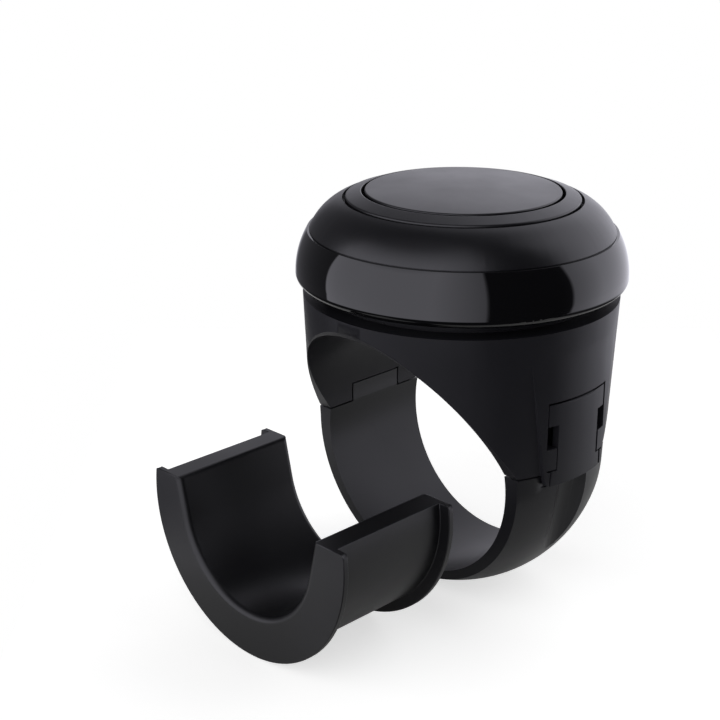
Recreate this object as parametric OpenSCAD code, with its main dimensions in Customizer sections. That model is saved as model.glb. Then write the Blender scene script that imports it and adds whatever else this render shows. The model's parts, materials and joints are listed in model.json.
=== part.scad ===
// Spinner knob that clamps on a steering wheel rim.
// The origin is the centre of the clamp bore. +Z is the spin axis, +Y runs along the rim.
// A hinged strap closes under the rim and is held by a lever latch on the +X side.

/* [Clamp] */
// Radius of the bore that grips the rim or its liner
bore_r = 20.5; // [19.5:0.1:21]
// Thickness of the strap at its middle
ring_wall = 5.1; // [4.8:0.1:6]
// Width of the strap at the parting line
strap_w = 22.8; // [21:0.2:24]
// How much narrower the strap is at its bottom
strap_taper = 2; // [0:0.2:3]
// Height of the ball's centre over the bore's centre
ball_z = 1.3; // [0.5:0.1:2]
// Height of the parting line between housing and strap
part_z = 3.5; // [3:0.1:4]
// Height of the saddle's crown over the bore
saddle_rise = 4.7; // [4.2:0.1:5]

/* [Housing] */
// Wall between the saddle's crown and the housing's top face
crown_wall = 2.8; // [2.4:0.1:4]
// How far the knob's band stands out over the housing
band_over = 1.2; // [0.8:0.1:1.4]
// How far the collar stands in from the band's inner wall
neck_inset = 2.4; // [1.4:0.1:2.6]
// Height of the collar over the deck
neck_h = 3; // [2.6:0.1:3.4]
// Wall of the collar
neck_wall = 1.4; // [1:0.1:1.8]

/* [Hinge] */
// Radius of the knuckles
knuckle_r = 2.5; // [2.2:0.1:2.6]
// Radius of the hinge pin
hinge_pin_r = 1; // [0.8:0.1:1.2]
// Width of each of the housing's two ears
ear_w = 5.7; // [4.5:0.1:6.5]
// Height of the strap's tongue over the hinge pin
tongue_rise = 0.6; // [0:0.1:1]

/* [Latch] */
// How far the pad stands out over the ball
pad_rise = 1; // [0.6:0.1:1.2]
// Width of the pad at its foot
foot_w = 15; // [14.6:0.1:16]
// Widening of each side of the pad, per height
pad_taper = 0.16; // [0.1:0.01:0.18]
// Height of the pad's foot
foot_z = 1.5; // [1:0.1:2]
// Width of the lever's head
head_w = 14.2; // [13.4:0.1:14.4]
// Height of the top edge of the lever
head_z = 15.7; // [15:0.1:16.5]
// Height of the lever's head
head_h = 3.7; // [3.4:0.1:4.4]
// Width of the lever's stem between the tongues
stem_w = 10.2; // [9.6:0.1:10.6]
// Width of the lever's bar
bar_w = 12.7; // [12:0.1:13]
// Height of the lever's bar
bar_h = 2.6; // [2:0.1:3]
// Height of the top of the tongues beside the stem
side_z = 8.1; // [7.5:0.1:9]
// Radius of the lever's pin
lever_pin_r = 0.75; // [0.6:0.05:0.8]
// Radius of the finger scoop under the lever
scoop_r = 5; // [4.4:0.1:5.6]
// Depth of the finger scoop at its top
scoop_depth = 2; // [1.6:0.1:2.4]

/* [Bearing] */
// Number of bearing balls
ball_count = 8; // [6:1:8]
// Play between a moving pin or ball and its seat
run_fit = 0.05; // [0.02:0.01:0.08]

/* [Knob] */
// Largest radius of the knob, at its gloss band
knob_r = 28; // [27:0.1:29]
// Height of the band's widest level over the deck
band_h = 3.4; // [3.3:0.1:4]
// Height of the seam between band and cap over the deck
seam_h = 10.6; // [10:0.1:11]
// How far the seam stands in from the band
seam_inset = 2.2; // [1.8:0.1:2.6]
// Width of the cap's round from the seam to the inlay ring
cap_run = 5.7; // [5.2:0.1:6.2]
// Height of the cap's round over the seam
cap_rise = 5.3; // [5:0.1:5.6]
// Bulge of the cap's round
cap_bulge = 0.78; // [0.5:0.02:1]
// Width of the inlay ring
ring_w = 2.7; // [2.2:0.1:3.2]
// Width of the grooves round the disc and the inlay ring
groove_w = 0.5; // [0.3:0.05:0.7]
// Height of the disc's edge over the cap's inner edge
disc_rise = 1.3; // [1:0.1:1.6]
// Height of the disc's dome
disc_dome = 0.8; // [0.4:0.1:1.2]

/* [Liner] */
// Wall of the liner, which makes up for a thin rim
liner_wall = 4.1; // [3.5:0.1:6]
// Wall of the liner's flanges
flange_t = 1; // [0.8:0.1:1.4]
// Height of the liner's flanges over its wall
flange_h = 2; // [1.2:0.1:2.2]
// Height of the liner's arms over its centre
liner_arm = 3.5; // [1:0.2:4]
// Space between the strap and the liner that stands before it
liner_gap = 11.4; // [8:0.1:14]

/* [Hidden] */
$fn = 96;

// Clearance between pieces that move on each other, and helpers for cuts
gap = 0.3;
eps = 0.01;
over = 1;
big = 4 * bore_r;
skin_fn = 180;
hole_fn = 32;

// Clamp
ball_r = bore_r + ring_wall;
strap_half = strap_w / 2;
strap_top = part_z - gap;
saddle_top = bore_r + saddle_rise;
deck_z = saddle_top + crown_wall;
house_r = knob_r - band_over;

// Saddle of the housing: a circle through the crown and the ends of the strap's bore
saddle_z = (saddle_top * saddle_top - bore_r * bore_r) / (2 * (saddle_top - part_z));
saddle_r = saddle_top - saddle_z;

// Slope of the housing's front and back, from the strap's width to the crown
slope_run = house_r - strap_half;
slope_rise = saddle_top + over - part_z;

// Hinge
knuckle_cover = 0.05;
hinge_x = knuckle_r + knuckle_cover - ball_r;
hinge_z = part_z + knuckle_r;
knuckle_w = strap_w - 2 * ear_w;
hinge_pin_hold = 2;
hinge_pin_len = knuckle_w + 2 * hinge_pin_hold;
tongue_top = hinge_z + tongue_rise;
slot_w = knuckle_w + 2 * gap;
strap_swing = 20;

// Latch: the lever turns on a pin through its head and opens at its foot
pad_r = ball_r + pad_rise;
skin_r = pad_r - gap / 3;
foot_half = foot_w / 2;
foot_chamfer = 1.1;
bar_top = foot_z + bar_h;
lever_pin_depth = 2.4;
lever_pin_drop = 2.5;
lever_pin_x = pad_r - lever_pin_depth;
lever_pin_z = head_z - lever_pin_drop;
lever_pin_hold = 1;
lever_pin_len = head_w + 2 * lever_pin_hold;
barrel_wall = 0.55;
barrel_r = lever_pin_r + barrel_wall;
head_sweep = lever_pin_drop * 1.26;
head_top_gap = gap + 0.1;
lip_t = 0.3;
pocket_half = head_w / 2 + gap;
pocket_x = lever_pin_x - barrel_r - 3 * gap;
lever_t = 1.7;
lever_x = skin_r - lever_t;
foot_x = lever_x;
step_x = foot_x - gap;
step_z = foot_z - gap;
keeper_t = 0.6;
keeper_w = 6;
keeper_depth = 3;
keeper_x = lever_pin_x - barrel_r - gap;
keeper_foot = part_z - keeper_depth;
nose_x = keeper_x + keeper_t + gap;
nose_w = 4;
nose_h = 1;
nose_z = strap_top + gap;
keeper_top = nose_z + nose_h;
scoop_tilt = 9.7;

// Spindle stack, from the deck up
cap_z = deck_z + seam_h + cap_rise;
plate_t = 1.6;
plate_top = deck_z + plate_t;
spacer_h = 1.8;
retainer_t = 1.2;
screw_head_h = 0.5;
cap_floor_drop = 2.7;
cap_floor_z = cap_z - cap_floor_drop;
cap_floor_t = 1.4;
race_z = plate_top + spacer_h;
race_top = cap_floor_z - retainer_t - screw_head_h - gap / 3;
race_w = race_top - race_z;
race_mid = (race_z + race_top) / 2;
race_r = knob_r / 2;
spindle_r = race_r * 3 / 7;
race_section = race_r - spindle_r;
race_land = race_section * 0.275;
bearing_ball_r = race_section * 0.2975;
cage_t = race_section * 0.15;
cage_h = bearing_ball_r * 2.4;
pitch_r = (spindle_r + race_r) / 2;
thread_r = spindle_r * 2 / 3;
shoulder_r = spindle_r + race_land * 0.8;
washer_t = 0.8;
nut_z = race_top + washer_t;
nut_h = 3;
nut_r = thread_r * 1.85;

// Knob
seam_r = knob_r - seam_inset;
seam_z = deck_z + seam_h;
band_z = deck_z + band_h;
band_step = 0.2;
band_in_r = seam_r - band_step;
band_lip = 0.25;
lip_round = 1.4;
lip_drop = 1.45;
lip_z = band_z - lip_drop;
neck_r = band_in_r - neck_inset;
hub_wall = 5;
hub_r = race_r + hub_wall;
hub_lip = 1.4;
hub_z = race_z - hub_lip;
retainer_screw_r = 1.25;
retainer_head_r = 2;
retainer_screw_at = race_r + hub_wall / 2;
retainer_screw_len = 4.6;
web_play = 1.4;
web_z = deck_z + neck_h + web_play;
web_t = 2;
rib_t = 1.6;
rim_drop = 1.6;
rim_top = seam_z - rim_drop;
cap_wall = 2;
cap_edge_r = seam_r - band_step / 2;
cap_in_r = seam_r - cap_run;
seam_gap = 0.15;
ring_out_r = cap_in_r - groove_w;
ring_in_r = ring_out_r - ring_w;
disc_r = ring_in_r - groove_w;
disc_skirt = 1.8;
disc_wall = 1.2;
disc_edge_z = cap_z + disc_rise;
disc_foot = cap_floor_z + cap_floor_t;
cap_hole_inset = 2.6;
cap_hole_r = disc_r - disc_skirt - cap_hole_inset;

// Plate screws, countersunk flush in the plate
plate_play = 0.8;
plate_r = neck_r - neck_wall - plate_play;
plate_screw_r = 1.4;
plate_head_r = 2.4;
plate_head_h = 1;
plate_screw_len = 6.6;
plate_screw_edge = 0.5;
plate_screw_at = plate_r - plate_head_r - plate_screw_edge;
plate_screw_turn = 21;

// Liner
liner_spare = 1.4;
liner_len = strap_w + liner_spare;
liner_in_r = bore_r - liner_wall;
liner_flange_r = bore_r + flange_h;
liner_x = -2.85;
liner_y = -(strap_half + liner_gap + liner_len / 2);
liner_z = ball_z - ball_r + liner_flange_r;

// Helpers
module cyl_y(radius, length, x = 0, z = 0, facets = 72) {
    translate([x, length / 2, z]) rotate([90, 0, 0]) cylinder(h = length, r = radius, $fn = facets);
}

module block(x0, x1, w, z0, z1) {
    translate([x0, -w / 2, z0]) cube([x1 - x0, w, z1 - z0]);
}

// Prism along X with the given outline in Y and Z
module along_x(outline) {
    rotate([90, 0, 90]) translate([0, 0, -big / 2]) linear_extrude(height = big) polygon(outline);
}

module tube(z0, height, inner, outer) {
    difference() {
        translate([0, 0, z0]) cylinder(h = height, r = outer);
        translate([0, 0, z0 - over]) cylinder(h = height + 2 * over, r = inner);
    }
}

module at_plate_screws() {
    for (side = [0, 180])
        for (turn = [-1, 1])
            rotate(side + turn * plate_screw_turn) translate([plate_screw_at, 0, 0]) children();
}

module at_retainer_screws() {
    for (i = [0 : 2])
        rotate(i * 120) translate([retainer_screw_at, 0, 0]) children();
}

module at_balls() {
    for (i = [0 : ball_count - 1])
        rotate(i * 360 / ball_count) translate([pitch_r, 0, race_mid]) children();
}

// Ball below, cone above: the outside that housing and strap share
module round_body() {
    translate([0, 0, ball_z]) cylinder(h = deck_z - ball_z, r1 = ball_r, r2 = house_r, $fn = skin_fn);
    translate([0, 0, ball_z]) sphere(r = ball_r, $fn = skin_fn);
}

// Housing
module slope_cut() {
    along_x([
        [strap_half, -big], [strap_half, part_z],
        [strap_half + 2 * slope_run, part_z + 2 * slope_rise],
        [big, part_z + 2 * slope_rise], [big, -big]
    ]);
}

// Raised pad that frames the lever, narrower towards its foot
module pad() {
    top = deck_z - 2 * over;
    top_half = foot_half + pad_taper * (top - foot_z - foot_chamfer);
    c = foot_chamfer;
    d = 0.3 * c;
    intersection() {
        difference() {
            cylinder(h = top, r = pad_r, $fn = skin_fn);
            block(-big, foot_x, big, -big, part_z);
            cylinder(h = big, r = bore_r, center = true);
        }
        along_x([
            [-top_half, top + over], [-foot_half, foot_z + c], [-foot_half + d, foot_z + d],
            [-foot_half + c, foot_z], [foot_half - c, foot_z], [foot_half - d, foot_z + d],
            [foot_half, foot_z + c], [top_half, top + over]
        ]);
    }
}

// Room for the lever: its head, its stem between two tongues, its bar, and the sweep of the head
module lever_pocket() {
    block(pocket_x, big, 2 * pocket_half, side_z, head_z + head_top_gap);
    block(pocket_x, big, stem_w + 2 * gap, -over, side_z + eps);
    block(pocket_x, big, bar_w + 2 * gap, -over, bar_top + gap);
    block(foot_x + gap, big, foot_w - 2 * gap, bar_top, bar_top + gap);
    intersection() {
        cylinder(h = deck_z, r = pad_r - lip_t, $fn = skin_fn);
        block(pocket_x, big, 2 * pocket_half, head_z, lever_pin_z + head_sweep + gap);
    }
}

// Room for the strap's knuckle, and the rounded outside of the two ears
module hinge_relief() {
    reach = 2.5 * knuckle_r;
    cyl_y(knuckle_r + gap, slot_w, hinge_x, hinge_z);
    block(hinge_x - reach, hinge_x, slot_w, part_z - over, hinge_z);
    block(hinge_x, hinge_x + reach, slot_w, part_z - over, tongue_top + gap);
    translate([hinge_x, slot_w / 2, hinge_z]) rotate([90, 0, 0]) linear_extrude(height = slot_w)
        rotate(strap_swing) translate([-3 * knuckle_r, -knuckle_r])
            square([3 * knuckle_r, 2 * knuckle_r + 1.5 * gap]);
    difference() {
        block(hinge_x - reach, hinge_x, big, part_z - over, hinge_z);
        cyl_y(knuckle_r, big + over, hinge_x, hinge_z);
    }
}

module base_housing() {
    color("#232327") difference() {
        union() {
            intersection() {
                round_body();
                translate([-big / 2, -big / 2, part_z]) cube([big, big, big]);
            }
            pad();
            translate([0, 0, deck_z - eps]) cylinder(h = neck_h + eps, r = neck_r);
        }
        translate([0, 0, deck_z]) cylinder(h = neck_h + over, r = neck_r - neck_wall);
        cyl_y(saddle_r, big, 0, saddle_z);
        slope_cut();
        mirror([0, 1, 0]) slope_cut();
        hinge_relief();
        cyl_y(hinge_pin_r, hinge_pin_len, hinge_x, hinge_z);
        lever_pocket();
        cyl_y(lever_pin_r, lever_pin_len, lever_pin_x, lever_pin_z);
        at_plate_screws() translate([0, 0, plate_top - plate_screw_len - plate_t - gap])
            cylinder(h = big, r = plate_screw_r, $fn = hole_fn);
    }
}

// Strap: its front and back faces lean together towards the bottom
module strap_ring() {
    bottom = ball_z - ball_r - over;
    bottom_half = strap_half - strap_taper / 2;
    intersection() {
        round_body();
        along_x([
            [-strap_half, strap_top], [strap_half, strap_top],
            [bottom_half, bottom], [-bottom_half, bottom]
        ]);
    }
}

module clamp_strap() {
    color("#1d1d21") difference() {
        union() {
            strap_ring();
            cyl_y(knuckle_r, knuckle_w, hinge_x, hinge_z);
            block(hinge_x - knuckle_r, hinge_x, knuckle_w, strap_top - over, hinge_z);
            block(hinge_x, hinge_x + 2 * knuckle_r, knuckle_w, strap_top - over, tongue_top);
        }
        cyl_y(bore_r, big);
        cyl_y(saddle_r, big, 0, saddle_z);
        difference() {
            cyl_y(knuckle_r + gap, big, hinge_x, hinge_z);
            block(-big, big, knuckle_w, -big, big);
        }
        cyl_y(hinge_pin_r + run_fit, big, hinge_x, hinge_z);
        block(step_x, big, foot_w + 2 * gap, step_z, deck_z);
        block(keeper_x, keeper_x + keeper_t, keeper_w, keeper_foot, deck_z);
        scoop();
    }
}

// Finger scoop: a leaning round groove that runs out of the ball towards its bottom
module scoop() {
    translate([ball_r - scoop_depth, 0, ball_z]) rotate([0, scoop_tilt, 0])
        translate([scoop_r, 0, 0]) cylinder(h = 2 * ball_r, r = scoop_r, center = true, $fn = 96);
}

module hinge_pin() {
    color("silver") cyl_y(hinge_pin_r, hinge_pin_len, hinge_x, hinge_z);
}

// Latch
module lever_pin() {
    color("silver") cyl_y(lever_pin_r, lever_pin_len, lever_pin_x, lever_pin_z);
}

module latch_lever() {
    head_foot = head_z - head_h;
    color("#1b1b1f") difference() {
        union() {
            intersection() {
                cylinder(h = head_z, r = skin_r, $fn = skin_fn);
                union() {
                    intersection() {
                        block(lever_pin_x, big, head_w, head_foot, head_z);
                        cyl_y(head_sweep, head_w + over, lever_pin_x, lever_pin_z);
                    }
                    block(lever_x, big, stem_w, foot_z, head_foot + eps);
                    block(lever_x, big, bar_w, foot_z, bar_top);
                }
            }
            cyl_y(barrel_r, head_w, lever_pin_x, lever_pin_z);
            block(nose_x, lever_x + eps, nose_w, nose_z, nose_z + nose_h);
        }
        cyl_y(lever_pin_r + run_fit, big, lever_pin_x, lever_pin_z);
    }
}

module latch_keeper() {
    color("silver") block(keeper_x, keeper_x + keeper_t, keeper_w, keeper_foot, keeper_top);
}

// Spindle and bearing
module spindle_plate() {
    color("silver") difference() {
        tube(deck_z, plate_t, spindle_r - over, plate_r);
        at_plate_screws() {
            translate([0, 0, deck_z - over]) cylinder(h = big, r = plate_screw_r, $fn = hole_fn);
            translate([0, 0, plate_top - plate_head_h]) cylinder(h = big, r = plate_head_r, $fn = hole_fn);
        }
    }
}

module plate_screws() {
    color("gray") at_plate_screws() {
        translate([0, 0, plate_top - plate_t - plate_screw_len])
            cylinder(h = plate_screw_len + plate_t - plate_head_h + eps, r = plate_screw_r, $fn = hole_fn);
        translate([0, 0, plate_top - plate_head_h]) cylinder(h = plate_head_h, r = plate_head_r, $fn = hole_fn);
    }
}

module spindle() {
    color("silver") {
        translate([0, 0, deck_z]) cylinder(h = plate_t + eps, r = spindle_r - over);
        translate([0, 0, plate_top]) cylinder(h = spacer_h, r = shoulder_r);
        translate([0, 0, race_z - eps]) cylinder(h = race_w + eps, r = spindle_r);
        translate([0, 0, race_top - eps]) cylinder(h = washer_t + nut_h + gap, r = thread_r);
    }
}

// Ring with a raceway groove: inner or outer, by its two radii
module race(r0, r1) {
    difference() {
        tube(race_z, race_w, r0, r1);
        translate([0, 0, race_mid]) rotate_extrude()
            translate([pitch_r, 0]) circle(r = bearing_ball_r + run_fit, $fn = 48);
    }
}

module bearing_inner_race() {
    color("silver") race(spindle_r, spindle_r + race_land);
}

module bearing_outer_race() {
    color("silver") race(race_r - race_land, race_r);
}

module bearing_balls() {
    color("white") at_balls() sphere(r = bearing_ball_r, $fn = 48);
}

module ball_cage() {
    color("goldenrod") difference() {
        tube(race_mid - cage_h / 2, cage_h, pitch_r - cage_t / 2, pitch_r + cage_t / 2);
        at_balls() sphere(r = bearing_ball_r + run_fit, $fn = 48);
    }
}

module spindle_washer() {
    color("silver") tube(race_top, washer_t, thread_r, shoulder_r);
}

module spindle_nut() {
    color("gray") difference() {
        translate([0, 0, nut_z]) cylinder(h = nut_h, r = nut_r, $fn = 6);
        translate([0, 0, nut_z - over]) cylinder(h = nut_h + 2 * over, r = thread_r);
    }
}

// Knob
module knob_core() {
    rim_h = rim_top - web_z;
    color("#18181b") difference() {
        union() {
            translate([0, 0, hub_z]) cylinder(h = race_top - hub_z, r = hub_r);
            translate([0, 0, web_z]) cylinder(h = web_t, r = band_in_r);
            tube(web_z, rim_h, band_in_r - rib_t, band_in_r);
            for (i = [0 : 5])
                rotate(i * 60 + 30) translate([hub_r - over, -rib_t / 2, web_z])
                    cube([band_in_r - hub_r, rib_t, rim_h]);
        }
        translate([0, 0, race_z]) cylinder(h = big, r = race_r);
        translate([0, 0, hub_z - over]) cylinder(h = big, r = race_r - hub_lip);
        at_retainer_screws() translate([0, 0, race_top - retainer_screw_len - gap])
            cylinder(h = big, r = retainer_screw_r, $fn = hole_fn);
    }
}

module bearing_retainer() {
    color("silver") difference() {
        tube(race_top, retainer_t, race_r - hub_lip, hub_r);
        at_retainer_screws() translate([0, 0, race_top - over])
            cylinder(h = big, r = retainer_screw_r, $fn = hole_fn);
    }
}

module retainer_screws() {
    color("gray") at_retainer_screws() translate([0, 0, race_top - retainer_screw_len]) {
        cylinder(h = retainer_screw_len + retainer_t, r = retainer_screw_r, $fn = hole_fn);
        translate([0, 0, retainer_screw_len + retainer_t])
            cylinder(h = screw_head_h, r = retainer_head_r, $fn = hole_fn);
    }
}

// Band profile: a large arc down from the seam, tangent to the upright at its widest level
module gloss_band() {
    drop = seam_z - band_z;
    inset = seam_inset - band_lip;
    arc_r = (drop * drop + inset * inset) / (2 * inset);
    color("#050506") rotate_extrude($fn = skin_fn) difference() {
        union() {
            intersection() {
                translate([knob_r - arc_r, band_z]) circle(r = arc_r, $fn = 240);
                translate([band_in_r, band_z]) square([knob_r, drop]);
            }
            translate([band_in_r, lip_z]) square([knob_r - band_in_r - lip_round, lip_round]);
            translate([knob_r - lip_round, band_z]) circle(r = lip_round, $fn = 64);
        }
        translate([0, lip_z - big]) square([knob_r - lip_round, big]);
    }
}

// Cap profile: one arc from the inner edge to the seam, hollow below, with a floor for the disc
module cap_shell() {
    chord = [cap_edge_r - cap_in_r, seam_z - cap_z];
    half = norm(chord) / 2;
    arc_r = (half * half + cap_bulge * cap_bulge) / (2 * cap_bulge);
    normal = [-chord[1], chord[0]] / norm(chord);
    centre = [cap_in_r, cap_z] + chord / 2 - normal * (arc_r - cap_bulge);
    color("#26262a") rotate_extrude($fn = skin_fn) {
        difference() {
            intersection() {
                translate(centre) circle(r = arc_r, $fn = 240);
                translate([cap_in_r, rim_top]) square([cap_edge_r - cap_in_r, big]);
            }
            intersection() {
                translate(centre) circle(r = arc_r - cap_wall, $fn = 240);
                translate([cap_in_r + cap_wall, 0]) square([big, big]);
            }
            square([cap_in_r + cap_wall, cap_floor_z]);
            translate([band_in_r, 0]) square([big, seam_z + seam_gap]);
        }
        translate([cap_hole_r, cap_floor_z])
            square([cap_in_r + cap_wall / 2 - cap_hole_r, cap_floor_t]);
    }
}

module inlay_ring() {
    outer_top = cap_z + gap;
    inner_top = disc_edge_z - gap / 3;
    color("#222226") rotate_extrude($fn = skin_fn) polygon([
        [ring_in_r, disc_foot], [ring_out_r, disc_foot], [ring_out_r, outer_top], [ring_in_r, inner_top]
    ]);
}

// Domed disc with a skirt that stands on the cap's floor, hollow over the nut
module top_disc() {
    top = disc_edge_z + disc_dome;
    dome_r = (disc_r * disc_r + disc_dome * disc_dome) / (2 * disc_dome);
    color("#2a2a2f") difference() {
        intersection() {
            translate([0, 0, disc_foot]) cylinder(h = big, r = disc_r, $fn = skin_fn);
            translate([0, 0, top - dome_r]) sphere(r = dome_r, $fn = 2 * skin_fn);
        }
        translate([0, 0, disc_foot - over])
            cylinder(h = disc_edge_z - disc_wall - disc_foot + over, r = disc_r - disc_skirt);
    }
}

// Loose liner: a U-shaped saddle with a flange at each end, standing in front of the clamp
module rim_liner() {
    color("#222227") translate([liner_x, liner_y, liner_z]) difference() {
        union() {
            liner_ring(bore_r, liner_len, liner_arm);
            for (side = [-1, 1])
                translate([0, side * (liner_len - flange_t) / 2, 0])
                    liner_ring(liner_flange_r, flange_t, liner_arm);
        }
        cyl_y(liner_in_r, big);
    }
}

// Disc across Y, cut off level at its top
module liner_ring(radius, length, top) {
    difference() {
        cyl_y(radius, length);
        block(-big, big, length + 2 * over, top, big);
    }
}

base_housing();
spindle_plate();
plate_screws();
spindle();
bearing_inner_race();
spindle_washer();
spindle_nut();
hinge_pin();
lever_pin();
rim_liner();
ball_cage();
bearing_balls();
bearing_outer_race();
knob_core();
bearing_retainer();
retainer_screws();
gloss_band();
cap_shell();
inlay_ring();
top_disc();
clamp_strap();
latch_keeper();
latch_lever();
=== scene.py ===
"""Looks of the spinner knob: materials, studio light and the photograph's view of it."""

import json
import math

import bmesh
import bpy
from mathutils import Matrix, Vector


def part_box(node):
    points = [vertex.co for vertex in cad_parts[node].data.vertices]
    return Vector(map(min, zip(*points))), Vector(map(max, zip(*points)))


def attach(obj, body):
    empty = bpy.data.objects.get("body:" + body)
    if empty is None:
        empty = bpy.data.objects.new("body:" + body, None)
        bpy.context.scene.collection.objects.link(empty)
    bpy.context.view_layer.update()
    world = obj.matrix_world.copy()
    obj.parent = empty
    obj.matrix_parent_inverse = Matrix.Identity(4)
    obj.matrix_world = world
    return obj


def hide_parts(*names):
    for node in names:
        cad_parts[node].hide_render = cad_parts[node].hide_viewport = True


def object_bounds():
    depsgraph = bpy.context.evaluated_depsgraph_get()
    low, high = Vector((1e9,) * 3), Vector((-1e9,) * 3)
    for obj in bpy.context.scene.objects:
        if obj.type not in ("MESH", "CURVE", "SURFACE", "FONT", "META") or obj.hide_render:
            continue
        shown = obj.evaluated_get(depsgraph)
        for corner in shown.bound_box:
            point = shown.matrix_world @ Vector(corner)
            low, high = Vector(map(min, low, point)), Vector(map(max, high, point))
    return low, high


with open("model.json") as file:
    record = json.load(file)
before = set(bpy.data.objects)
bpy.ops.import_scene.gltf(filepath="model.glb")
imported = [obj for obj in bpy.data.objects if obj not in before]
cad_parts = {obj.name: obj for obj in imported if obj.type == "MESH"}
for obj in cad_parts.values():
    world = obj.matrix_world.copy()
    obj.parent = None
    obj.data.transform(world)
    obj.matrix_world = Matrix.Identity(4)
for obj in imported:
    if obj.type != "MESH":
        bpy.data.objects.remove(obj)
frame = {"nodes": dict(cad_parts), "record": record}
cad_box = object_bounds()
nodes = frame["nodes"]

MM = 0.001


# Camera, from the fit of the knob's circles in the photograph
PHOTO_FOCAL_PX = 1500
PHOTO_SIZE_PX = 720
SENSOR_WIDTH_MM = 36
CLIP_START = 10 * MM
VIEW_AZIMUTH = 45.15
VIEW_ELEVATION = 20.25
VIEW_DISTANCE = 253.5 * MM
VIEW_RIGHT = -17.1 * MM
VIEW_UP = -15.4 * MM
BAND_LEVEL = 31.4 * MM


def make_camera():
    """Places the camera where the photograph was taken from."""
    a = math.radians(VIEW_AZIMUTH)
    e = math.radians(VIEW_ELEVATION)
    back = Vector((math.sin(a) * math.cos(e), -math.cos(a) * math.cos(e), math.sin(e)))
    right = Vector((math.cos(a), math.sin(a), 0))
    up = back.cross(right)
    data = bpy.data.cameras.new("photo_camera")
    data.sensor_width = SENSOR_WIDTH_MM
    data.lens = data.sensor_width * PHOTO_FOCAL_PX / PHOTO_SIZE_PX
    data.clip_start = CLIP_START
    camera = bpy.data.objects.new("photo_camera", data)
    place = back * VIEW_DISTANCE + right * VIEW_RIGHT + up * VIEW_UP
    place.z += BAND_LEVEL
    turn = Matrix((right, up, back)).transposed()
    camera.matrix_world = Matrix.Translation(place) @ turn.to_4x4()
    bpy.context.scene.collection.objects.link(camera)
    bpy.context.scene.camera = camera


# Materials: texture scales are in waves per metre, bump depths in metres, and a shade multiplies a colour

CLOUD_SCALE = 70
CLOUD_SHADE = 0.82
CLOUD_SMOOTHS = 0.03
CLOUD_ROUGHENS = 0.04
GRAIN_SCALE = 5200
GRAIN_DEPTH = 0.02 * MM
SMEAR_SCALE = 60
SMEAR_STRETCH = (1, 1, 6)
SMEAR_SHADE = 1.3
SMEAR_ROUGHENS = 0.02
HAIRLINE_SCALE = 900
HAIRLINE_STRETCH = (1, 1, 14)
HAIRLINE_DEPTH = 0.01 * MM
HAIRLINE_BUMP = 0.02
POLISHED_SPECULAR = 0.5
TARNISH_SCALE = 120
TARNISH_SHADE = 0.85
TOOL_MARK_SCALE = 800
TOOL_MARK_ROUGHENS = 0.12
TOOL_MARK_DEPTH = 0.01 * MM
TOOL_MARK_BUMP = 0.15
# A noise texture's values lie mostly between these two
NOISE_LOW = 0.35
NOISE_HIGH = 0.65


def node_tree(name):
    """A new material, its node tree and its shader node."""
    material = bpy.data.materials.new(name)
    material.use_nodes = True
    tree = material.node_tree
    shader = tree.nodes["Principled BSDF"]
    return material, tree, shader


def noise(tree, scale, detail=3.0, stretch=(1, 1, 1)):
    """A noise texture in the object's own coordinates."""
    coords = tree.nodes.new("ShaderNodeTexCoord")
    mapping = tree.nodes.new("ShaderNodeMapping")
    mapping.inputs["Scale"].default_value = stretch
    texture = tree.nodes.new("ShaderNodeTexNoise")
    texture.inputs["Scale"].default_value = scale
    texture.inputs["Detail"].default_value = detail
    tree.links.new(coords.outputs["Object"], mapping.inputs["Vector"])
    tree.links.new(mapping.outputs["Vector"], texture.inputs["Vector"])
    return texture.outputs["Fac"]


def ramp(tree, value, low, high):
    """Turns a noise texture's value into the range low to high."""
    node = tree.nodes.new("ShaderNodeMapRange")
    node.inputs["From Min"].default_value = NOISE_LOW
    node.inputs["From Max"].default_value = NOISE_HIGH
    node.inputs["To Min"].default_value = low
    node.inputs["To Max"].default_value = high
    tree.links.new(value, node.inputs["Value"])
    return node.outputs["Result"]


def mix_colour(tree, factor, low, high):
    """Mixes two colours by a 0 to 1 value."""
    node = tree.nodes.new("ShaderNodeMix")
    node.data_type = "RGBA"
    node.inputs["A"].default_value = (*low, 1)
    node.inputs["B"].default_value = (*high, 1)
    tree.links.new(factor, node.inputs["Factor"])
    return node.outputs["Result"]


def bump(tree, shader, height, strength, distance):
    """Drives the shader's normal with a height."""
    node = tree.nodes.new("ShaderNodeBump")
    node.inputs["Strength"].default_value = strength
    node.inputs["Distance"].default_value = distance
    tree.links.new(height, node.inputs["Height"])
    tree.links.new(node.outputs["Normal"], shader.inputs["Normal"])


def moulded_plastic(name, colour, rough, grain, specular):
    """Black moulded plastic with a fine spark-eroded grain and faint handling marks."""
    material, tree, shader = node_tree(name)
    fine = noise(tree, GRAIN_SCALE, 2.0)
    cloud = noise(tree, CLOUD_SCALE, 4.0)
    darker = tuple(CLOUD_SHADE * c for c in colour)
    tree.links.new(mix_colour(tree, cloud, darker, colour), shader.inputs["Base Color"])
    roughness = ramp(tree, cloud, rough - CLOUD_SMOOTHS, rough + CLOUD_ROUGHENS)
    tree.links.new(roughness, shader.inputs["Roughness"])
    shader.inputs["Specular IOR Level"].default_value = specular
    bump(tree, shader, fine, grain, GRAIN_DEPTH)
    return material


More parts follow.
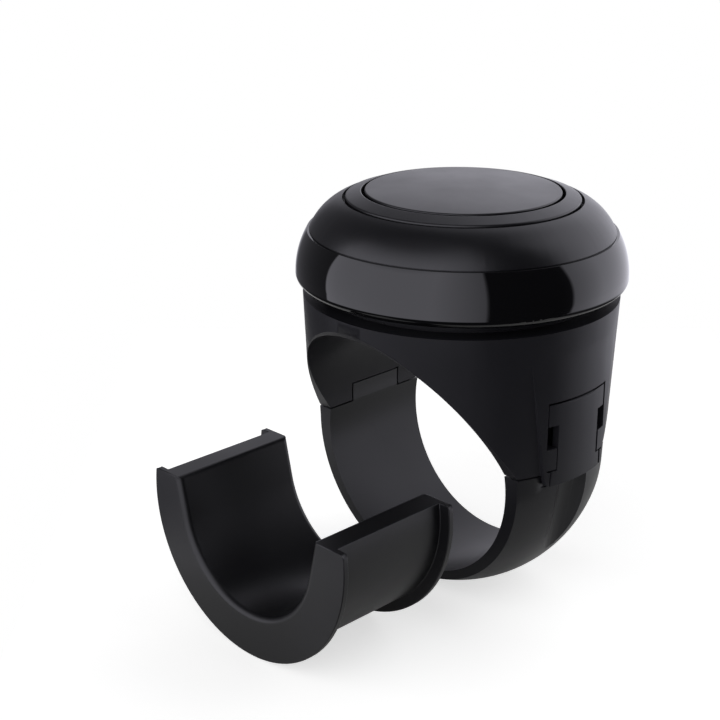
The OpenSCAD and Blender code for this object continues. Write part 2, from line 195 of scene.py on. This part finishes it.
def polished_plastic(name, colour, rough):
    """Piano-black plastic with faint smears and hairline wipe marks."""
    material, tree, shader = node_tree(name)
    smear = noise(tree, SMEAR_SCALE, 3.0, SMEAR_STRETCH)
    hair = noise(tree, HAIRLINE_SCALE, 2.0, HAIRLINE_STRETCH)
    lighter = tuple(SMEAR_SHADE * c for c in colour)
    tree.links.new(mix_colour(tree, smear, colour, lighter), shader.inputs["Base Color"])
    tree.links.new(ramp(tree, smear, rough, rough + SMEAR_ROUGHENS), shader.inputs["Roughness"])
    shader.inputs["Specular IOR Level"].default_value = POLISHED_SPECULAR
    bump(tree, shader, hair, HAIRLINE_BUMP, HAIRLINE_DEPTH)
    return material


def metal(name, colour, rough, stretch):
    """Bare or plated metal with fine machining marks."""
    material, tree, shader = node_tree(name)
    marks = noise(tree, TOOL_MARK_SCALE, 3.0, stretch)
    cloud = noise(tree, TARNISH_SCALE, 3.0)
    darker = tuple(TARNISH_SHADE * c for c in colour)
    tree.links.new(mix_colour(tree, cloud, darker, colour), shader.inputs["Base Color"])
    tree.links.new(ramp(tree, marks, rough, rough + TOOL_MARK_ROUGHENS), shader.inputs["Roughness"])
    shader.inputs["Metallic"].default_value = 1
    bump(tree, shader, marks, TOOL_MARK_BUMP, TOOL_MARK_DEPTH)
    return material


# Moulded plastics by slot: colour, roughness, strength of the grain, specular level
PLASTICS = {
    "housing_plastic": ((0.012, 0.012, 0.0135), 0.36, 0.12, 0.2),
    "strap_plastic": ((0.007, 0.007, 0.008), 0.34, 0.06, 0.36),
    "lever_plastic": ((0.012, 0.012, 0.0135), 0.34, 0.1, 0.2),
    "core_plastic": ((0.008, 0.008, 0.009), 0.5, 0.12, 0.35),
    "satin_black": ((0.005, 0.005, 0.0057), 0.31, 0.05, 0.5),
    "liner_rubber": ((0.004, 0.004, 0.0046), 0.38, 0.12, 0.44),
}
# Metals by slot: colour, roughness, stretch of the tool marks
METALS = {
    "zinc_steel": ((0.55, 0.56, 0.58), 0.3, (1, 1, 1)),
    "turned_steel": ((0.6, 0.6, 0.61), 0.22, (1, 1, 12)),
    "bearing_steel": ((0.7, 0.7, 0.71), 0.12, (1, 1, 1)),
    "cage_brass": ((0.7, 0.52, 0.25), 0.25, (1, 1, 1)),
}
# The polished plastic: colour, roughness
PIANO_BLACK = ((0.002, 0.002, 0.0022), 0.03)
MATERIALS = {slot: moulded_plastic(slot, *values) for slot, values in PLASTICS.items()}
MATERIALS["gloss_black"] = polished_plastic("gloss_black", *PIANO_BLACK)
MATERIALS.update({slot: metal(slot, *values) for slot, values in METALS.items()})


# Dressing of the CAD nodes

WELD_DISTANCE = 0.001 * MM
FLAT_ANGLE = math.radians(0.4)
SHARP_ANGLE = math.radians(32)
FACE_WEIGHT = 100
EDGE_ROUND = 0.25 * MM
EDGE_SEGMENTS = 3


def dress_nodes():
    """Gives every CAD node its slot's material, soft edges and smooth shading."""
    for part in frame["record"]["subparts"]:
        piece = nodes[part["node"]]
        piece.data.materials.clear()
        piece.data.materials.append(MATERIALS[part["material_slot"]])
        weld = piece.modifiers.new("weld", "WELD")
        weld.merge_threshold = WELD_DISTANCE
        flats = piece.modifiers.new("flats", "DECIMATE")
        flats.decimate_type = "DISSOLVE"
        flats.angle_limit = FLAT_ANGLE
        edge = piece.modifiers.new("edge", "BEVEL")
        edge.width = EDGE_ROUND
        edge.segments = EDGE_SEGMENTS
        edge.limit_method = "ANGLE"
        edge.angle_limit = SHARP_ANGLE
        weigh_normals(piece)


def weigh_normals(piece):
    """Smooth shading that leaves the large faces flat and turns only across the rounded edges."""
    normals = piece.modifiers.new("normals", "WEIGHTED_NORMAL")
    normals.mode = "FACE_AREA"
    normals.weight = FACE_WEIGHT
    for polygon in piece.data.polygons:
        polygon.use_smooth = True


# Liner: on the CAD liner's outer arc, with the fuller wall and the soft inner edges of a rubber moulding

LINER_BODY_R = 20.5 * MM
LINER_FLANGE_T = 1 * MM
LINER_HOLLOW_R = 14.8 * MM
LINER_HOLLOW_X = -0.2 * MM
LINER_HOLLOW_Z = -0.1 * MM
LINER_BEND_END = math.radians(77)
LINER_STEPS = 64
LINER_SOFT_ROUND = 1.1 * MM
LINER_CORNER_ROUND = 0.7 * MM
LINER_TOP_ROUND = 0.6 * MM
LINER_CRISP_ROUND = 0.16 * MM
LINER_EDGE_SEGMENTS = 5


def along_u(radius, bend_end, rise, share):
    """Place on a U: an arc up to bend_end from its lowest point, then straight to the level rise."""
    straight = (rise + radius * math.cos(bend_end)) / math.sin(bend_end)
    run = abs(share) * (radius * bend_end + straight)
    bend = min(run / radius, bend_end)
    rest = run - bend * radius
    x = radius * math.sin(bend) + rest * math.cos(bend)
    return math.copysign(x, share), rest * math.sin(bend) - radius * math.cos(bend)


def make_liner():
    """Sweeps the liner's section round its arc and cuts the arms level at their tops."""
    low, high = (Vector(corner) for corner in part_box("rim_liner"))
    flange_r = (high.x - low.x) / 2
    centre = Vector(((low.x + high.x) / 2, low.y, low.z + flange_r))
    top = high.z - centre.z
    length = high.y - low.y
    hollow = (LINER_HOLLOW_R, LINER_HOLLOW_X, LINER_HOLLOW_Z, LINER_BEND_END)
    body = (LINER_BODY_R, 0, 0, math.pi / 2 + math.asin(top / LINER_BODY_R))
    flange = (flange_r, 0, 0, math.pi / 2 + math.asin(top / flange_r))
    inner_end = length - LINER_FLANGE_T
    # Corners 0 and 7 lie in the hollow, 1 and 2, 5 and 6 on the flanges, 3 and 4 at their roots
    section = (
        (hollow, 0), (flange, 0), (flange, LINER_FLANGE_T), (body, LINER_FLANGE_T),
        (body, inner_end), (flange, inner_end), (flange, length), (hollow, length),
    )
    mesh = bmesh.new()
    rings = []
    for step in range(LINER_STEPS + 1):
        ring = []
        for (radius, x, z, bend_end), y in section:
            out, rise = along_u(radius, bend_end, top - z, 2 * step / LINER_STEPS - 1)
            ring.append(mesh.verts.new(centre + Vector((x + out, y, z + rise))))
        rings.append(ring)
    for ring, following in zip(rings, rings[1:]):
        for i in range(len(section)):
            j = (i + 1) % len(section)
            mesh.faces.new((ring[i], ring[j], following[j], following[i]))
    mesh.faces.new(rings[0])
    mesh.faces.new(rings[-1])
    bmesh.ops.recalc_face_normals(mesh, faces=mesh.faces)
    mesh.verts.index_update()
    weight = mesh.edges.layers.float.new("bevel_weight_edge")
    for edge in mesh.edges:
        if edge.calc_face_angle() < SHARP_ANGLE:
            continue
        ends = {corner.index % len(section) for corner in edge.verts}
        width = LINER_CRISP_ROUND
        if ends in ({0}, {7}):
            width = LINER_SOFT_ROUND
        elif ends in ({1, 2}, {5, 6}):
            width = LINER_CORNER_ROUND
        elif ends == {0, 7}:
            width = LINER_TOP_ROUND
        edge[weight] = width / LINER_SOFT_ROUND
    data = bpy.data.meshes.new("rim_liner_soft")
    mesh.to_mesh(data)
    mesh.free()
    data.materials.append(MATERIALS["liner_rubber"])
    piece = bpy.data.objects.new("rim_liner_soft", data)
    bpy.context.scene.collection.objects.link(piece)
    edge = piece.modifiers.new("edge", "BEVEL")
    edge.width = LINER_SOFT_ROUND
    edge.segments = LINER_EDGE_SEGMENTS
    edge.limit_method = "WEIGHT"
    weigh_normals(piece)
    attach(piece, "base")
    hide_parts("rim_liner")


# Studio: a room drawn in the world's own directions. Azimuth 0 is the camera's side, plus is to its right

ROOM_LEVEL_MAX = 2.0
PANEL_AROUND = (
    (-180, 0), (-106.6, 0), (-105.6, 1.42), (-75, 1.68), (-22, 1.75), (13, 0.9), (14.6, 0), (180, 0),
)
PANEL_UPWARD = (
    (-90, 0), (-24, 0), (-18, 1), (46, 1), (54, 0.75), (70, 0.5), (82, 0.2), (90, 0.08),
)
# How much sooner the panel fades upward towards its far left, per radian
PANEL_LEAN = 0.44
BACKDROP_AROUND = (
    (-180, 0.82), (-171, 0.5), (-160, 0.12), (-107, 0.07), (-95, 0), (68, 0), (75.5, 0.02), (76.5, 1.05),
    (105, 1.6), (130, 1.3), (160, 1.1), (172, 1.05), (180, 0.82),
)
BACKDROP_UPWARD = ((-90, 0), (-28, 0.03), (-18, 1), (20, 1), (48, 0.8), (72, 0.1), (90, 0.05))
ROOM_SHADE = 0.03
ROOM_TINT = (0.98, 0.97, 1.075)

FLOOR_GAP = 0.05 * MM
FLOOR_LEVEL = cad_box[0][2] - FLOOR_GAP
FLOOR_BACK = 130 * MM
FLOOR_FRONT = 52 * MM
FLOOR_HALF_WIDTH = 75 * MM
FLOOR_CLOUD_SCALE = 6
FLOOR_ROUGHNESS = 0.8
FLOOR_GLOW = 0.62
FLOOR_GLOW_IN_GLOSS = 0.06
# Yellow enough to cancel the room's tint, so that the shadow is grey
FLOOR_COLOURS = ((0.78, 0.787, 0.712), (0.8, 0.807, 0.73))


def camera_side():
    """The flat direction from the object towards the camera, and the one to the camera's right."""
    a = math.radians(VIEW_AZIMUTH)
    return Vector((math.sin(a), -math.cos(a), 0)), Vector((math.cos(a), math.sin(a), 0))


def calc(tree, operation, first, second=None):
    """One sum; an input is a number or another node's output."""
    node = tree.nodes.new("ShaderNodeMath")
    node.operation = operation
    for socket, value in zip(node.inputs, (first, second)):
        if isinstance(value, (int, float)):
            socket.default_value = value
        elif value is not None:
            tree.links.new(value, socket)
    return node.outputs["Value"]


def level_along(tree, turn, stops, low, high):
    """Brightness as a function of an angle in radians, through stops of (degrees, level)."""
    spread = tree.nodes.new("ShaderNodeMapRange")
    spread.inputs["From Min"].default_value = math.radians(low)
    spread.inputs["From Max"].default_value = math.radians(high)
    tree.links.new(turn, spread.inputs["Value"])
    node = tree.nodes.new("ShaderNodeValToRGB")
    elements = node.color_ramp.elements
    while len(elements) > 1:
        elements.remove(elements[-1])
    for i, (degrees, level) in enumerate(stops):
        stop = elements[0] if i == 0 else elements.new(1)
        stop.position = (degrees - low) / (high - low)
        stop.color = (*[level / ROOM_LEVEL_MAX] * 3, 1)
    tree.links.new(spread.outputs["Result"], node.inputs["Fac"])
    return calc(tree, "MULTIPLY", node.outputs["Color"], ROOM_LEVEL_MAX)


def sees_background(tree):
    """Two switches: the first is 1 for the camera's and refracted rays, the second for mirrored rays."""
    path = tree.nodes.new("ShaderNodeLightPath")
    seen = calc(tree, "MAXIMUM", path.outputs["Is Camera Ray"], path.outputs["Is Transmission Ray"])
    return seen, path.outputs["Is Glossy Ray"]


def make_world():
    """Draws panel and backdrop for the light, and plain white for what the camera sees."""
    world = bpy.data.worlds.new("studio")
    world.use_nodes = True
    tree = world.node_tree
    background = tree.nodes["Background"]
    coords = tree.nodes.new("ShaderNodeTexCoord")
    turned = tree.nodes.new("ShaderNodeVectorRotate")
    turned.rotation_type = "Z_AXIS"
    towards, _ = camera_side()
    turned.inputs["Angle"].default_value = -math.atan2(towards.y, towards.x)
    tree.links.new(coords.outputs["Generated"], turned.inputs["Vector"])
    axes = tree.nodes.new("ShaderNodeSeparateXYZ")
    tree.links.new(turned.outputs["Vector"], axes.inputs["Vector"])
    around = calc(tree, "ARCTAN2", axes.outputs["Y"], axes.outputs["X"])
    upward = calc(tree, "ARCSINE", axes.outputs["Z"])
    above = calc(tree, "MAXIMUM", upward, 0)
    lean = calc(tree, "MULTIPLY", above, calc(tree, "MULTIPLY", around, -PANEL_LEAN))
    panel = calc(tree, "MULTIPLY",
                 level_along(tree, around, PANEL_AROUND, -180, 180),
                 level_along(tree, calc(tree, "ADD", upward, lean), PANEL_UPWARD, -90, 90))
    backdrop = calc(tree, "MULTIPLY",
                    level_along(tree, around, BACKDROP_AROUND, -180, 180),
                    level_along(tree, upward, BACKDROP_UPWARD, -90, 90))
    room = calc(tree, "ADD", calc(tree, "ADD", panel, backdrop), ROOM_SHADE)
    tint = tree.nodes.new("ShaderNodeMix")
    tint.data_type = "RGBA"
    tint.inputs["A"].default_value = (*ROOM_TINT, 1)
    tint.inputs["B"].default_value = (1, 1, 1, 1)
    level = tree.nodes.new("ShaderNodeMix")
    level.inputs["B"].default_value = 1
    seen, _ = sees_background(tree)
    tree.links.new(seen, tint.inputs["Factor"])
    tree.links.new(seen, level.inputs["Factor"])
    tree.links.new(room, level.inputs["A"])
    tree.links.new(tint.outputs["Result"], background.inputs["Color"])
    tree.links.new(level.outputs["Result"], background.inputs["Strength"])
    bpy.context.scene.world = world


def floor_material():
    """Pale floor: white to the camera, dim in gloss, with the object's shadow left on it."""
    material, tree, shader = node_tree("floor")
    cloud = noise(tree, FLOOR_CLOUD_SCALE, 2.0)
    tree.links.new(mix_colour(tree, cloud, *FLOOR_COLOURS), shader.inputs["Base Color"])
    shader.inputs["Roughness"].default_value = FLOOR_ROUGHNESS
    shader.inputs["Specular IOR Level"].default_value = 0
    seen, gloss = sees_background(tree)
    glow = tree.nodes.new("ShaderNodeEmission")
    in_gloss = calc(tree, "MULTIPLY", gloss, FLOOR_GLOW_IN_GLOSS)
    in_view = calc(tree, "MULTIPLY", seen, FLOOR_GLOW)
    tree.links.new(calc(tree, "MAXIMUM", in_view, in_gloss), glow.inputs["Strength"])
    together = tree.nodes.new("ShaderNodeAddShader")
    tree.links.new(shader.outputs["BSDF"], together.inputs[0])
    tree.links.new(glow.outputs["Emission"], together.inputs[1])
    tree.links.new(together.outputs["Shader"], tree.nodes["Material Output"].inputs["Surface"])
    return material


def make_floor():
    """A sheet under the part, in line with the camera."""
    towards, right = camera_side()
    corners = [
        towards * FLOOR_FRONT - right * FLOOR_HALF_WIDTH,
        towards * FLOOR_FRONT + right * FLOOR_HALF_WIDTH,
        -towards * FLOOR_BACK + right * FLOOR_HALF_WIDTH,
        -towards * FLOOR_BACK - right * FLOOR_HALF_WIDTH,
    ]
    mesh = bpy.data.meshes.new("floor")
    mesh.from_pydata([(c.x, c.y, FLOOR_LEVEL) for c in corners], [], [(0, 1, 2, 3)])
    sheet = bpy.data.objects.new("floor", mesh)
    sheet.data.materials.append(floor_material())
    bpy.context.scene.collection.objects.link(sheet)


make_camera()
dress_nodes()
make_liner()
make_world()
make_floor()
bpy.context.scene.view_settings.view_transform = "Standard"
